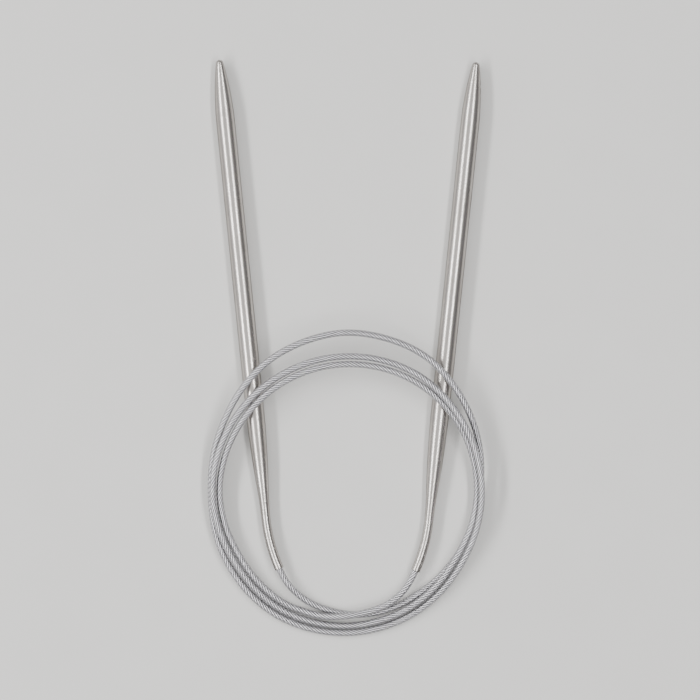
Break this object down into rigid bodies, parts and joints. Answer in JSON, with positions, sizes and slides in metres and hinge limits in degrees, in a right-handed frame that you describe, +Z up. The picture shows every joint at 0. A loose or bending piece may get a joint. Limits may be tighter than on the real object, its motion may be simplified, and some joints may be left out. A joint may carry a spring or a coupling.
{
  "type": "circular knitting needle",
  "caption": "Fixed circular knitting needle: two hollow metal needles with bent necks, joined by a long coiled plastic-sheathed wire cable that flexes where it leaves each neck.",
  "frame": {"origin": "on the surface the object lies on, midway between the two needles, as their box's bottom centre", "axes": "+Y towards the two points, +Z up from the surface, +X towards the right needle"},
  "size_m": [0.0737, 0.1538, 0.0084],
  "materials": {
    "needle_metal": "satin drawn and polished metal",
    "wire_rope": "bright twisted wire",
    "cable_sheath": "smooth semi-clear nylon over the rope"
  },
  "bodies": {
    "cable": {"cable_coil": "cable_sheath", "left_cable_lead": "cable_sheath", "right_cable_lead": "cable_sheath", "left_cable_flex": "cable_sheath", "right_cable_flex": "cable_sheath"},
    "left_end": {"left_needle": "needle_metal", "left_rope_end": "wire_rope"},
    "right_end": {"right_needle": "needle_metal", "right_rope_end": "wire_rope"}
  },
  "joints": [
    {"name": "left_needle_swing", "type": "hinge", "parent": "cable", "child": "left_end", "pos_m": [-0.01546, -0.07203, 0.00218], "axis": [0, 0, -1], "range_deg": [-2, 12], "stiffness_Nm_per_rad": 0.02, "deforming": ["left_cable_flex"]},
    {"name": "right_needle_swing", "type": "hinge", "parent": "cable", "child": "right_end", "pos_m": [0.0153, -0.07267, 0.00263], "axis": [0, 0, 1], "range_deg": [-2, 12], "stiffness_Nm_per_rad": 0.02, "deforming": ["right_cable_flex"]}
  ]
}
